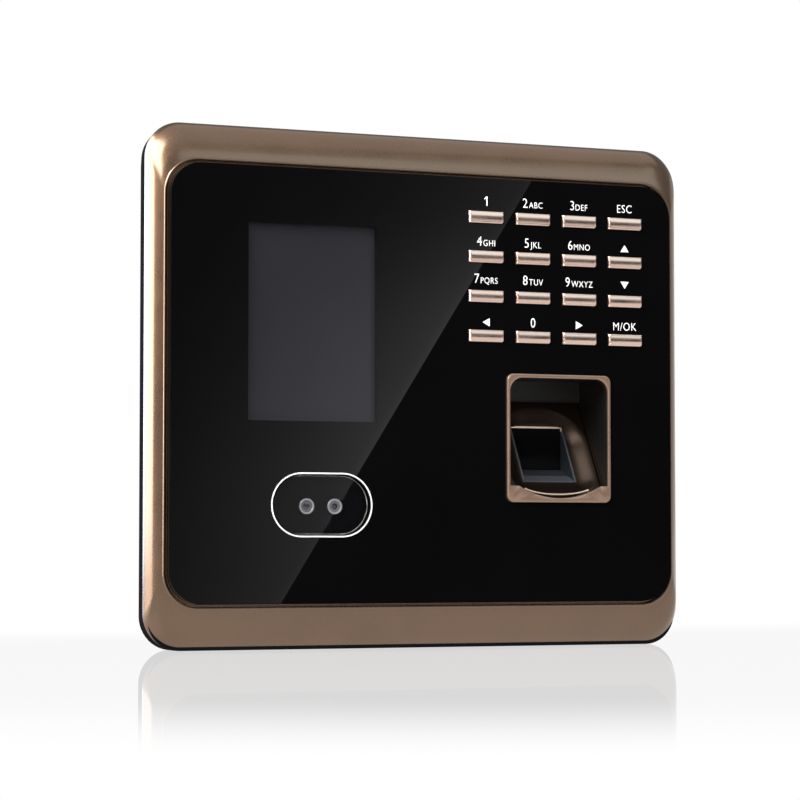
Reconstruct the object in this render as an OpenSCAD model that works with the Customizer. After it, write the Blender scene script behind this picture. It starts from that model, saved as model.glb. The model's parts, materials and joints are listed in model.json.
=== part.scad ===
// Wall terminal with a finger bay, a keypad, a display and a pair of cameras.
// X runs to the right seen from the front, the front faces -Y, and +Z is up.
// The origin is at the centre of the bottom.

/* [Body] */
// Overall width
body_w = 167.5; // [166:0.5:172]
// Overall height
body_h = 148.8; // [148:0.2:152]
// Overall depth, keys and wall plate included
body_d = 32.2; // [32:0.2:36]
// Corner radius of the outer edge
body_r = 10.5; // [9:0.5:12]
// Wall of the rear housing
wall = 2; // [1.6:0.1:2.4]

/* [Front panel] */
// Width of the black panel
panel_w = 156.6; // [154:0.2:157]
// Height of the black panel
panel_h = 123.5; // [122:0.5:124]
// Height of the panel's bottom edge
panel_z = 13.1; // [12:0.1:14]
// Corner radius of the panel
panel_r = 9; // [7:0.5:10]
// Thickness of the panel
panel_t = 1.8; // [1.5:0.1:2]
// How far the finger bay frame stands out of the panel
frame_proud = 1.1; // [0.8:0.1:1.2]

/* [Display] */
// Width of the clear window
screen_w = 39; // [36:0.5:42]
// Height of the clear window
screen_h = 56; // [52:0.5:58]
// Centre of the window
screen_x = -35.9; // [-38:0.1:-34]
// Height of the window's centre
screen_z = 92.6; // [91:0.1:94]

/* [Cameras] */
// Centre of the camera ring
camera_x = -33.2; // [-35:0.1:-31]
// Height of the camera ring's centre
camera_z = 40.9; // [39:0.1:42]
// Length of the ring
ring_w = 30.7; // [29:0.1:32]
// Height of the ring
ring_h = 18.3; // [17:0.1:19]
// Width of the ring's line
ring_line = 0.75; // [0.6:0.1:1.2]
// Distance between the two lenses
lens_pitch = 8.5; // [8:0.1:9]

/* [Keys] */
// Width of a key
key_w = 11.3; // [10:0.1:12]
// Height of a key
key_h = 3.55; // [3:0.05:4]
// Distance between columns
key_pitch_x = 15.1; // [14.5:0.1:15.5]
// Distance between rows
key_pitch_z = 11.58; // [11:0.02:12]
// Centre of the first column
key_x = 17.9; // [17:0.1:18]
// Centre of the top row
key_z = 125.1; // [124:0.1:126]
// How far a key goes in
key_travel = 0.8; // [0.5:0.1:0.8]

/* [Finger bay] */
// Centre of the bay
bay_x = 41.3; // [40:0.1:42]
// Bottom of the bay frame
bay_z = 42; // [41.5:0.1:42.5]
// Width of the bay frame
bay_w = 34; // [33.5:0.1:34.5]
// Height of the bay frame
bay_h = 37.6; // [37:0.1:38]
// Lean of the finger bed from upright
bed_lean = 31; // [30:0.5:32]
// Width of the sensor
sensor_w = 17.4; // [16.4:0.1:17.4]
// Length of the sensor along the bed
sensor_l = 18.8; // [18:0.1:19]

/* [Wall plate] */
// Width of the plate
plate_w = 116; // [110:1:120]
// Height of the plate
plate_h = 90; // [88:1:92]
// Thickness of the plate
plate_t = 1.6; // [1.4:0.1:1.6]
// Distance between the wall holes across
plate_holes_x = 80; // [76:1:84]
// Distance between the wall holes up
plate_holes_z = 60; // [56:1:64]

/* [Hidden] */
$fn = 64;

slip = 0.1;
tiny = 0.01;
front_y = -body_d / 2;
rear_y = body_d / 2;
glass_y = front_y + frame_proud;

// Layers behind the panel's front
panel_back = glass_y + panel_t;
adhesive_back = panel_back + 0.3;
floor_back = adhesive_back + 1.8;
crest_y = glass_y - 0.5;
seam_y = glass_y + 6.54;

// Distance from the panel's edge to the bezel's crest
crest_lip = 1.1;

// Rear housing
back_y = rear_y - 2;
back_in = back_y - wall;
board_y = -1;
board_t = 1.6;
board_back = board_y + board_t;

// Connection recess in the rear
recess_x = -10;
recess_w = 68;
recess_top = 24;
recess_y = 5;

// Cameras
lens_r = 2.25;
lens_z = camera_z - 0.4;
lens_middle = camera_x - 0.2;
lens_y = glass_y + 0.35;

// Finger bed: its foot, and the hollow between its ridges
bed_y = glass_y + 6;
bed_z = 48.3;
lip_lean = 52;
ridge = 2.5;
trough_w = 19.2;
trough_top = 20.4;
ridge_w = 28.6;
ridge_top = 25.2;
cradle_top = 72.3;
bay_wall = 1.2;
opening_w = 31.5;
frame_line = 1.2;
bay_in_w = 31.8;
bay_in_z = 43.1;
bay_in_h = 35.5;
bay_back = 4;

// Screw places
post_x = 76;
post_z = [18, 126];
board_posts = [[-68, 30], [-68, 130], [14, 130], [68, 30]];
hook_x = 46;
hook_tops = [52, 112];
hook_w = 8;
hook_lift = 5.5;
reset_x = 34;
reset_z = 24;
tamper_x = 10;
tamper_z = 100;
lock_x = -38;
lock_y = 9.5;
tab_z = 19.5;

bronze = [0.47, 0.38, 0.31];
rose = [0.80, 0.60, 0.50];
black = [0.04, 0.04, 0.045];
charcoal = [0.18, 0.19, 0.21];
glass_tint = [0.12, 0.12, 0.14, 0.5];
steel = [0.72, 0.73, 0.75];
board_green = [0.07, 0.32, 0.18];

// ---------- Shared shapes ----------

// A rectangle with round corners, centred across and standing on zero
module rounded(w, h, r) {
    translate([-w / 2 + r, 0]) square([w - 2 * r, h]);
    translate([-w / 2, r]) square([w, h - 2 * r]);
    for (x = [-w / 2 + r, w / 2 - r], z = [r, h - r]) translate([x, z]) circle(r);
}

// Takes a flat outline drawn in X and Z and gives it depth from y0 to y1
module deep(y0, y1) {
    translate([0, y1, 0]) rotate([90, 0, 0]) linear_extrude(y1 - y0) children();
}

// A rounded slab from y0 to y1
module slab(w, h, r, x, z, y0, y1) {
    translate([x, 0, z]) deep(y0, y1) rounded(w, h, r);
}

// A box from one corner to the other
module block(low, high) {
    translate(low) cube(high - low);
}

// A round bar along Y
module rod(r, x, z, y0, y1) {
    translate([x, y1, z]) rotate([90, 0, 0]) cylinder(h = y1 - y0, r = r);
}

// Gives a side outline, drawn in Y and Z, a width along X
module across(x0, x1) {
    translate([x0, 0, 0]) rotate([90, 0, 90]) linear_extrude(x1 - x0) children();
}

// Places children on the leaning finger bed, with local Z running up the bed
module on_bed() {
    translate([bay_x, bed_y, bed_z]) rotate([-bed_lean, 0, 0]) children();
}

// Places one child per key
module key_place(column, row) {
    translate([key_x + column * key_pitch_x, 0, key_z - row * key_pitch_z]) children();
}

module all_keys() {
    for (column = [0:3], row = [0:3]) key_place(column, row) children();
}

// ---------- Front ----------

module bezel_skin() {
    hull() {
        slab(body_w, body_h, body_r, 0, 0, seam_y - 0.8, seam_y, $fn = 48);
        slab(body_w - 1.8, body_h - 4.2, body_r, 0, 2.1, seam_y - 3.5, seam_y - 3, $fn = 48);
        slab(body_w - 4.6, body_h - 12.4, body_r, 0, 6.4, seam_y - 5.4, seam_y - 5, $fn = 48);
        slab(panel_w + 2 * crest_lip, panel_h + 2 * crest_lip, panel_r + crest_lip,
             0, panel_z - crest_lip, crest_y, crest_y + tiny, $fn = 48);
    }
}

module front_bezel() {
    color(bronze) {
        difference() {
            bezel_skin();
            slab(panel_w + 2 * slip, panel_h + 2 * slip, panel_r + slip,
                 0, panel_z - slip, crest_y - 1, adhesive_back);
            slab(body_w - 6, body_h - 9, body_r - 3, 0, 4.5, floor_back, seam_y + 1);
            slab(50.8, 69.8, 1, screen_x, screen_z - 34.9, crest_y, seam_y);
            slab(ring_w - 2, ring_h - 2, ring_h / 2 - 1.01, camera_x, camera_z - ring_h / 2 + 1,
                 crest_y, seam_y);
            slab(bay_w + 0.6, bay_h + 0.8, 1, bay_x, bay_z - 0.4, crest_y, seam_y);
            all_keys() slab(key_w + 0.4, key_h + 0.4, 0.5, 0, -key_h / 2 - 0.2, crest_y, seam_y);
        }
        // Posts that take the housing screws
        for (x = [-post_x, post_x], z = post_z) difference() {
            rod(3.4, x, z, floor_back - 0.5, seam_y - slip);
            rod(1.5, x, z, floor_back + 0.3, seam_y + 1);
        }
        // Posts that carry the camera board
        for (x = [-18, 18]) rod(1.6, camera_x + x, camera_z, floor_back - 0.5, -6.2);
    }
}

module panel_adhesive() {
    color([0.85, 0.85, 0.8]) difference() {
        slab(panel_w - 2, panel_h - 2, panel_r - 1, 0, panel_z + 1, panel_back, adhesive_back);
        slab(50.8, 69.8, 1, screen_x, screen_z - 34.9, crest_y, seam_y);
        slab(ring_w - 2, ring_h - 2, ring_h / 2 - 1.01, camera_x, camera_z - ring_h / 2 + 1,
             crest_y, seam_y);
        slab(bay_w + 0.6, bay_h + 0.8, 1, bay_x, bay_z - 0.4, crest_y, seam_y);
        slab(62, 44, 1, key_x + 1.5 * key_pitch_x, key_z - 3 * key_pitch_z - 4.5,
             crest_y, seam_y);
    }
}

module front_panel() {
    color(black) difference() {
        slab(panel_w, panel_h, panel_r, 0, panel_z, glass_y, panel_back);
        slab(screen_w + 0.04, screen_h + 0.04, 0.5, screen_x, screen_z - screen_h / 2 - 0.02,
             crest_y, seam_y);
        slab(ring_w + 0.04, ring_h + 0.04, ring_h / 2, camera_x, camera_z - ring_h / 2 - 0.02,
             crest_y, seam_y);
        slab(bay_w + 0.2, bay_h + 0.2, 2.1, bay_x, bay_z - 0.1, crest_y, seam_y);
        all_keys() slab(key_w + 0.3, key_h + 0.3, 0.5, 0, -key_h / 2 - 0.15, crest_y, seam_y);
    }
}

module display_window() {
    color(glass_tint) slab(screen_w, screen_h, 0.5, screen_x, screen_z - screen_h / 2,
                           glass_y, panel_back);
}

module display_frame() {
    color(steel) difference() {
        slab(50, 69, 0.8, screen_x, screen_z - 34.5, panel_back + 0.1, -9.4);
        slab(42, 59, 0.3, screen_x, screen_z - 29.5, panel_back - 1, -12.4);
        slab(48.4, 67.4, 0.5, screen_x, screen_z - 33.7, -12.6, -9.9);
    }
}

module display_glass() {
    color([0.16, 0.16, 0.18]) slab(48, 67, 0.3, screen_x, screen_z - 33.5, -12.55, -11.3);
}

module backlight() {
    color([0.9, 0.9, 0.88]) slab(48, 67, 0.3, screen_x, screen_z - 33.5, -11.25, -9.95);
}

// ---------- Cameras ----------

// Places children at each lens
module lens_places() {
    for (side = [-1, 1]) translate([lens_middle + side * lens_pitch / 2, 0, lens_z]) children();
}

module camera_window() {
    color(glass_tint) difference() {
        slab(ring_w - 2 * ring_line - 0.04, ring_h - 2 * ring_line - 0.04,
             ring_h / 2 - ring_line - 0.03, camera_x,
             camera_z - ring_h / 2 + ring_line + 0.02, glass_y, panel_back);
        lens_places() rod(lens_r + 0.05, 0, 0, glass_y - 1, panel_back + 1);
    }
}

module camera_ring() {
    color([0.93, 0.93, 0.93]) difference() {
        slab(ring_w, ring_h, ring_h / 2 - tiny, camera_x, camera_z - ring_h / 2,
             glass_y - 0.12, panel_back - 0.2);
        slab(ring_w - 2 * ring_line, ring_h - 2 * ring_line, ring_h / 2 - ring_line - tiny,
             camera_x, camera_z - ring_h / 2 + ring_line, glass_y - 1, panel_back);
    }
}

module camera_lens(side) {
    x = lens_middle + side * lens_pitch / 2;
    color([0.10, 0.11, 0.14]) {
        rod(lens_r, x, lens_z, lens_y, -12.2);
        rod(lens_r - 0.5, x, lens_z, -12.2, -10.6);
    }
}

module camera_lens_left() camera_lens(-1);
module camera_lens_right() camera_lens(1);

module camera_barrels() {
    color([0.12, 0.12, 0.12]) lens_places() difference() {
        rod(lens_r + 1.05, 0, 0, -12.7, -6.2);
        rod(lens_r + 0.1, 0, 0, -14, -10.5);
    }
}

module camera_board() {
    color(board_green) slab(40, 22, 1, camera_x, camera_z - 11, -6.2, -5);
}

module infrared_leds() {
    color([0.75, 0.7, 0.75]) for (side = [-1, 1], z = [-4.6, 0.6, 5.4])
        rod(1.5, camera_x + side * (10.2 - abs(z) * 0.35), camera_z + z, -11, -6.2);
}

// ---------- Finger bay ----------

// The frame's opening: round top corners, and a lower edge that dips in an arc
module bay_opening() {
    sill = 4.9;
    dip = 3.6;
    half = 13.3;
    arc_r = (half * half + dip * dip) / (2 * dip);
    translate([0, sill]) rounded(opening_w, 20, 0.8);
    translate([0, sill]) rounded(opening_w, bay_h - sill - frame_line, 4);
    intersection() {
        translate([0, sill - dip + arc_r]) circle(arc_r, $fn = 128);
        translate([-half, 0]) square([2 * half, sill + 2]);
    }
}

module finger_bay_frame() {
    color(bronze) difference() {
        slab(bay_w, bay_h, 2, bay_x, bay_z, front_y, panel_back);
        translate([bay_x, 0, bay_z]) deep(front_y - 1, seam_y) bay_opening();
    }
}

module bay_housing() {
    color(black) difference() {
        union() {
            slab(bay_in_w + 2 * bay_wall, bay_in_h + 2 * bay_wall, 1.2, bay_x,
                 bay_in_z - bay_wall, panel_back, bay_back + bay_wall);
            slab(bay_in_w + 8, bay_in_h + 8, 2, bay_x, bay_in_z - 4, floor_back, floor_back + 1.2);
        }
        block([bay_x - bay_in_w / 2, crest_y, bay_in_z],
              [bay_x + bay_in_w / 2, bay_back, bay_in_z + bay_in_h]);
    }
}

// An outline with a flat foot, upright sides and a round-cornered top
module arch(w, top, r) {
    translate([-w / 2, -0.6]) square([w, top - r + 0.6]);
    translate([-w / 2 + r, 0]) square([w - 2 * r, top]);
    for (x = [-w / 2 + r, w / 2 - r]) translate([x, top - r]) circle(r, $fn = 48);
}

// The hollow that takes the finger, drawn on the bed
module trough() {
    flat = trough_w / 2;
    crest = ridge_w / 2;
    hull() {
        deep(-tiny, 0) arch(trough_w, trough_top, 3);
        deep(-ridge - tiny, -ridge) arch(ridge_w, ridge_top, 11);
    }
    // Below the bed's foot the hollow leans further forward
    rotate([bed_lean - lip_lean, 0, 0]) translate([0, 0, -20]) linear_extrude(20) polygon([
        [-flat, 0], [flat, 0], [crest, -ridge], [crest, -20], [-crest, -20], [-crest, -ridge]
    ]);
}

module finger_cradle() {
    groove = ridge_w / 2 + 0.35;
    color(bronze) difference() {
        block([bay_x - bay_in_w / 2 + slip, panel_back + slip, bay_in_z + slip],
              [bay_x + bay_in_w / 2 - slip, bay_back - slip, cradle_top]);
        on_bed() block([-30, -60, -40], [30, -ridge, 60]);
        on_bed() trough();
        on_bed() for (x = [-groove - 0.6, groove])
            translate([x, -5, -30]) cube([0.6, 4.2, 60]);
        across(bay_x - sensor_w / 2 - 0.75, bay_x + sensor_w / 2 + 0.75) housing_outline(0.2);
    }
}

// Side outline of the sensor housing, in Y and Z
// Grown by a gap, it cuts the pocket, which reaches out past the bed and through the back
module housing_outline(gap = 0) {
    lean = tan(bed_lean);
    foot = bed_z - 0.9 - gap;
    head = bed_z + 17 + gap;
    reach = 5 * gap;
    back = bay_back - 0.5 + 5 * gap;
    polygon([
        [bed_y + (foot - bed_z) * lean - reach, foot],
        [bed_y + (head - bed_z) * lean - reach, head],
        [back, head], [back, foot + 1.2]
    ]);
}

// Side outline of the glass prism: a leaning face in front and an upright back
module prism_outline(grow) {
    lean = tan(bed_lean);
    back = glass_y + 16 + grow;
    rise = sensor_l * cos(bed_lean);
    polygon([
        [bed_y, bed_z - grow], [bed_y + rise * lean, bed_z + rise + grow],
        [back, bed_z + rise + grow], [back, bed_z + 3.4 - grow], [bed_y + 1.4, bed_z + 1.1 - grow]
    ]);
}

module sensor_housing() {
    color(charcoal) difference() {
        across(bay_x - sensor_w / 2 - 0.6, bay_x + sensor_w / 2 + 0.6) housing_outline();
        across(bay_x - sensor_w / 2, bay_x + sensor_w / 2) prism_outline(0.06);
        on_bed() block([-sensor_w / 2, -3, 0], [sensor_w / 2, 0.5, sensor_l - 0.8]);
    }
}

module sensor_prism() {
    color([0.05, 0.05, 0.07, 0.7]) intersection() {
        across(bay_x - sensor_w / 2 + 0.06, bay_x + sensor_w / 2 - 0.06) prism_outline(0);
        on_bed() block([-20, 0.1, 0.1], [20, 40, sensor_l - 0.9]);
    }
}

module sensor_trim() {
    color(rose) on_bed() block([-7.9, -0.5, sensor_l - 0.7], [7.9, -0.02, sensor_l + 0.1]);
}

module sensor_board() {
    color(board_green) slab(26, 20, 0.5, bay_x, 50, bay_back + bay_wall, bay_back + 2.6);
}

// ---------- Keypad ----------

module key() {
    cap_y = front_y + 0.2;
    color(rose) {
        across(-key_w / 2, key_w / 2) polygon([
            [cap_y, -0.9], [cap_y, 0.9], [cap_y + 0.45, key_h / 2],
            [floor_back + slip, key_h / 2], [floor_back + slip, -key_h / 2],
            [cap_y + 0.45, -key_h / 2]
        ]);
        slab(key_w + 2, key_h + 1.6, 0.5, 0, -key_h / 2 - 0.8, floor_back + slip, floor_back + 0.9);
    }
}

module key_1() key_place(0, 0) key();
module key_2() key_place(1, 0) key();
module key_3() key_place(2, 0) key();
module key_esc() key_place(3, 0) key();
module key_4() key_place(0, 1) key();
module key_5() key_place(1, 1) key();
module key_6() key_place(2, 1) key();
module key_up() key_place(3, 1) key();
module key_7() key_place(0, 2) key();
module key_8() key_place(1, 2) key();
module key_9() key_place(2, 2) key();
module key_down() key_place(3, 2) key();
module key_left() key_place(0, 3) key();
module key_0() key_place(1, 3) key();
module key_right() key_place(2, 3) key();
module key_ok() key_place(3, 3) key();

mat_y = floor_back + 0.9 + key_travel + 0.1;

module key_mat() {
    color([0.25, 0.25, 0.27]) {
        slab(60, 46, 2, key_x + 1.5 * key_pitch_x, key_z - 1.5 * key_pitch_z - 23,
             mat_y + 0.3, mat_y + 0.9);
        all_keys() slab(key_w - 2, key_h, 0.8, 0, -key_h / 2, mat_y, mat_y + 0.4);
    }
}

module key_board() {
    color(board_green) slab(62, 49, 1, key_x + 1.5 * key_pitch_x, key_z - 1.5 * key_pitch_z - 24.5,
                            mat_y + 0.9, mat_y + 2.1);
}

// ---------- Electronics ----------

module main_board() {
    color(board_green) difference() {
        union() {
            block([-72, board_y, 8], [72, board_back, 40]);
            block([-72, board_y, 40], [20, board_back, 136]);
        }
        for (p = board_posts) rod(1.6, p[0], p[1], board_y - 1, board_back + 1);
    }
}

module board_chips() {
    color([0.09, 0.09, 0.1]) {
        for (x = [-40, -18]) block([x - 7, board_back, 78], [x + 7, board_back + 1.4, 92]);
        for (z = [64, 104]) block([-6, board_back, z], [5, board_back + 1, z + 8]);
        for (x = [-60, -50, -40]) block([x, board_back, 116], [x + 6, board_back + 1, 120]);
    }
}

module cell_holder() {
    color([0.1, 0.1, 0.1]) difference() {
        slab(23, 23, 2, -54, 48.5, board_back, board_back + 5);
        rod(10.1, -54, 60, board_back + 1, board_back + 6);
    }
}

module clock_cell() {
    color(steel) rod(10, -54, 60, board_back + 1, board_back + 4.2);
}

module speaker() {
    color([0.15, 0.15, 0.15]) block([-67, -6.5, wall + slip], [-48, 5.5, wall + 3.6]);
}

module network_socket() {
    color(steel) difference() {
        block([-28, board_back, recess_top - 0.2], [-12, board_back + 11.3, recess_top + 21]);
        block([-26, board_back + 1.6, recess_top - 1], [-14, board_back + 9.6, recess_top + 14]);
    }
}

module power_socket() {
    color([0.08, 0.08, 0.08]) {
        difference() {
            block([-6, board_back, recess_top - 0.2], [4, board_back + 10.5, recess_top + 14]);
            translate([-1, board_back + 5.6, recess_top - 1]) cylinder(h = 11, r = 3);
        }
        translate([-1, board_back + 5.6, recess_top + 0.8]) cylinder(h = 10, r = 1);
    }
}

module terminal_block() {
    color([0.1, 0.35, 0.2]) difference() {
        block([7, board_back, recess_top - 0.2], [22, board_back + 9, recess_top + 10]);
        for (x = [9.2:3.6:20.1])
            block([x - 1.2, board_back + 4.8, recess_top - 1],
                  [x + 1.2, board_back + 7.4, recess_top + 6]);
    }
}

module usb_socket() {
    color(steel) difference() {
        block([44, board_back, 0.4], [57.2, board_back + 5.8, 15]);
        block([44.5, board_back + 0.6, 0], [56.7, board_back + 5.2, 12.5]);
    }
    color([0.95, 0.95, 0.95])
        block([45.2, board_back + 2.9, 2], [56, board_back + 4.7, 13]);
}

module reset_button() {
    color([0.5, 0.1, 0.1]) {
        rod(1.2, reset_x, reset_z, board_back + 3.4, back_y - 0.4);
        rod(2.2, reset_x, reset_z, back_in - 1.2, back_in - 0.3);
    }
}

module reset_switch() {
    color([0.2, 0.2, 0.2])
        block([reset_x - 3, board_back, reset_z - 3], [reset_x + 3, board_back + 2.8, reset_z + 3]);
}

module tamper_plunger() {
    color([0.9, 0.9, 0.9]) {
        rod(1.8, tamper_x, tamper_z, back_in - 2, back_y + 0.25);
        rod(2.8, tamper_x, tamper_z, back_in - 2, back_in - 0.3);
    }
}

module tamper_switch() {
    color([0.12, 0.12, 0.12]) difference() {
        block([tamper_x - 3.5, board_back, tamper_z - 5],
              [tamper_x + 3.5, back_in - 3.2, tamper_z + 5]);
        rod(0.8, tamper_x, tamper_z - 3, back_in - 4, back_in);
    }
}

// ---------- Rear ----------

// Outside of the rear housing, drawn in by in all round
module rear_skin(in) {
    hull() {
        slab(body_w - 2 - 2 * in, body_h - 1 - 2 * in, body_r - 1 - in, 0, in, seam_y, -1);
        slab(body_w - 4.4 - 2 * in, body_h - 2.2 - 2 * in, body_r - 1 - in, 0, in, 3, 3.2);
        slab(body_w - 7.6 - 2 * in, body_h - 3.8 - 2 * in, body_r - 1 - in, 0, in, 6.2, 6.5);
        slab(body_w - 15 - 2 * in, body_h - 10.3 - 2 * in, body_r - 1 - in, 0, 2.5 + in, 10, 10.4);
        slab(body_w - 26 - 2 * in, body_h - 20.8 - 2 * in, body_r - 2 - in, 0, 7.5 + in,
             back_y - in - tiny, back_y - in);
    }
}

module rear_housing() {
    left = recess_x - recess_w / 2;
    right = recess_x + recess_w / 2;
    color(black) difference() {
        union() {
            difference() {
                rear_skin(0, $fn = 48);
                rear_skin(wall, $fn = 48);
                slab(body_w - 2 - 2 * wall, body_h - 1 - 2 * wall, body_r - 1 - wall, 0, wall,
                     seam_y - 1, seam_y + 4);
            }
            // Walls of the connection recess, and tubes around the housing screws
            intersection() {
                rear_skin(0, $fn = 48);
                union() {
                    block([left - wall, recess_y - wall, 0],
                          [right + wall, back_y, recess_top + wall]);
                    for (x = [-post_x, post_x], z = post_z) rod(4.4, x, z, 1.2, back_y + 1);
                }
            }
            for (x = [-post_x, post_x], z = post_z) rod(3.2, x, z, seam_y, 1.4);
            // Posts that carry the main board
            for (p = board_posts) rod(2.8, p[0], p[1], board_back, back_in + 0.5);
            // Boss for the lock screw
            translate([lock_x, lock_y, recess_top]) cylinder(h = 8, r = 3.6);
        }
        block([left, recess_y, -1], [right, back_y + 1, recess_top]);
        for (x = [-post_x, post_x], z = post_z) {
            rod(3.4, x, z, 3, back_y + 1);
            rod(1.6, x, z, seam_y - 1, 4);
        }
        for (p = board_posts) rod(1.3, p[0], p[1], board_back - 1, 7.5);
        translate([lock_x, lock_y, recess_top - 1]) cylinder(h = 8, r = 2.2);
        // Slots for the hooks of the wall plate
        for (side = [-1, 1], top = hook_tops)
            block([side * hook_x - hook_w / 2 - 0.5, back_in - 1, top - hook_lift - 2.7],
                  [side * hook_x + hook_w / 2 + 0.5, back_y + 1, top]);
        // Mouths of the sockets in the recess
        block([-28.2, recess_y - 2.5, recess_top - 2], [-11.8, board_back + 11.4, recess_top + 3]);
        block([-6.2, recess_y - 2.5, recess_top - 2], [4.2, board_back + 10.7, recess_top + 3]);
        block([6.8, recess_y - 2.5, recess_top - 2], [22.2, board_back + 9.2, recess_top + 3]);
        block([43.8, board_back - 0.2, -1], [57.4, board_back + 6, wall + 1]);
        // Slots for the speaker's sound
        for (x = [-64:3:-51]) block([x - 0.7, -5, -1], [x + 0.7, 4, wall + 1]);
        rod(1.35, reset_x, reset_z, back_in - 1, back_y + 1);
        rod(1.95, tamper_x, tamper_z, back_in - 1, back_y + 1);
    }
}

module housing_screws() {
    color(steel) for (x = [-post_x, post_x], z = post_z) {
        difference() {
            rod(2.8, x, z, 3, 5);
            rod(1.1, x, z, 4, 6, $fn = 6);
        }
        rod(1.45, x, z, floor_back + 0.6, 3);
    }
}

module board_screws() {
    color(steel) for (p = board_posts) {
        difference() {
            rod(2.6, p[0], p[1], board_y - 1.8, board_y);
            rod(1, p[0], p[1], board_y - 3, board_y - 0.8, $fn = 6);
        }
        rod(1.25, p[0], p[1], board_y, 6);
    }
}

module wall_plate() {
    plate_z = 34;
    face = rear_y - plate_t;
    color(steel) {
        difference() {
            union() {
                slab(plate_w, plate_h, 5, 0, plate_z, face, rear_y);
                block([lock_x - 5, face, tab_z], [lock_x + 5, rear_y, plate_z + 1]);
            }
            slab(36, 26, 4, 0, plate_z + 32, face - 1, rear_y + 1);
            for (x = [-1, 1], z = [-1, 1])
                rod(2.25, x * plate_holes_x / 2, plate_z + plate_h / 2 + z * plate_holes_z / 2,
                    face - 1, rear_y + 1);
        }
        for (side = [-1, 1], top = hook_tops) {
            block([side * hook_x - hook_w / 2, back_in - 2.2, top - 2.2],
                  [side * hook_x + hook_w / 2, face, top - 0.2]);
            block([side * hook_x - hook_w / 2, back_in - 2.2, top - 2.2],
                  [side * hook_x + hook_w / 2, back_in - 0.6, top + hook_lift - 2]);
        }
        difference() {
            block([lock_x - 5, recess_y + 0.6, tab_z], [lock_x + 5, face, tab_z + plate_t]);
            translate([lock_x, lock_y, tab_z - 1]) cylinder(h = 4, r = 2);
        }
    }
}

module lock_screw() {
    color(steel) translate([lock_x, lock_y, tab_z]) {
        difference() {
            translate([0, 0, -2.2]) cylinder(h = 2.2, r = 3.4);
            translate([0, 0, -3]) cylinder(h = 2, r = 1.5, $fn = 6);
        }
        cylinder(h = 10, r = 1.95);
    }
}

module ribbon(x0, x1, y0, y1, z0, z1) {
    t = 0.25;
    across(x0, x1) polygon([
        [y0, z0], [y1, z1], [y1, z1 + t], [y0, z0 + t]
    ]);
}

module display_ribbon() {
    color([0.75, 0.5, 0.2]) ribbon(-45, -27, -9.35, board_y, 60, 56);
}

module sensor_ribbon() {
    color([0.75, 0.5, 0.2]) block([20.5, 1.6, 55], [23.8, 1.85, 62]);
}

front_bezel();
panel_adhesive();
front_panel();
display_window();
display_frame();
display_glass();
backlight();
camera_window();
camera_ring();
camera_lens_left();
camera_lens_right();
camera_barrels();
camera_board();
infrared_leds();
finger_bay_frame();
bay_housing();
finger_cradle();
sensor_housing();
sensor_prism();
sensor_trim();
sensor_board();
key_mat();
key_board();
key_1();
key_2();
key_3();
key_esc();
key_4();
key_5();
key_6();
key_up();
key_7();
key_8();
key_9();
key_down();
key_left();
key_0();
key_right();
key_ok();
main_board();
board_chips();
cell_holder();
clock_cell();
speaker();
network_socket();
power_socket();
terminal_block();
usb_socket();
reset_button();
reset_switch();
tamper_plunger();
tamper_switch();
rear_housing();
housing_screws();
board_screws();
wall_plate();
lock_screw();
display_ribbon();
sensor_ribbon();
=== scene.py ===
"""Looks of a wall terminal with a finger bay, a keypad, a display and a pair of cameras.

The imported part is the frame. Every piece below takes its place from a node's box.
"""

import json
import math

import bmesh
import bpy
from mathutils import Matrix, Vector


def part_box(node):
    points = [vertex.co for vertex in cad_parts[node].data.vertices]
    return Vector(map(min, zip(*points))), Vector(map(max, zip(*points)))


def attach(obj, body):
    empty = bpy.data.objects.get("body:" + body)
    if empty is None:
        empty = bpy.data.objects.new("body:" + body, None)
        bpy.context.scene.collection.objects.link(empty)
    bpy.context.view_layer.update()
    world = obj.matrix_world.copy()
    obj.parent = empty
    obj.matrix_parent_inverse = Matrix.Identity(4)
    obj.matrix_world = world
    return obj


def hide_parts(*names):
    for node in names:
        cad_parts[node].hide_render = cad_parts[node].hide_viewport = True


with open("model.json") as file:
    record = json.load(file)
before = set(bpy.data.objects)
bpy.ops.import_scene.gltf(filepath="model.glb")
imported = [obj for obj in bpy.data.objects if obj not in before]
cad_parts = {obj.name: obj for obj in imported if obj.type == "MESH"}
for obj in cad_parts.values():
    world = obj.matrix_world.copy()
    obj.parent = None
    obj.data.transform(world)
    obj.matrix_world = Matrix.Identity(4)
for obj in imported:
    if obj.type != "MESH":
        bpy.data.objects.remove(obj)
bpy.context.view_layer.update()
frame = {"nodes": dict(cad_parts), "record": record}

MM = 0.001
RECORD = frame["record"]
SLOT_OF = {part["node"]: part["material_slot"] for part in RECORD["subparts"]}
BODY_OF = {node: body for body, nodes in RECORD["behaviour"]["bodies"].items() for node in nodes}

BEZEL_LOW, BEZEL_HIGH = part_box("front_bezel")
PANEL_LOW, PANEL_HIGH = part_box("front_panel")
GLASS_Y = PANEL_LOW.y


# ---------- Mesh helpers ----------

def build(name, bm, finish, node=None, body=None, sharp=32):
    """Makes a piece from a bmesh, gives it a finish, and lets it ride where its node rides."""
    bmesh.ops.recalc_face_normals(bm, faces=bm.faces)
    mesh = bpy.data.meshes.new(name)
    bm.to_mesh(mesh)
    bm.free()
    stale = mesh.attributes.get("custom_normal")
    if stale:
        mesh.attributes.remove(stale)
    mesh.shade_smooth()
    mesh.set_sharp_from_angle(angle=math.radians(sharp))
    piece = bpy.data.objects.new(name, mesh)
    bpy.context.scene.collection.objects.link(piece)
    mesh.materials.clear()
    mesh.materials.append(finish)
    if node:
        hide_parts(node)
    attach(piece, body or BODY_OF[node])
    return piece


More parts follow.
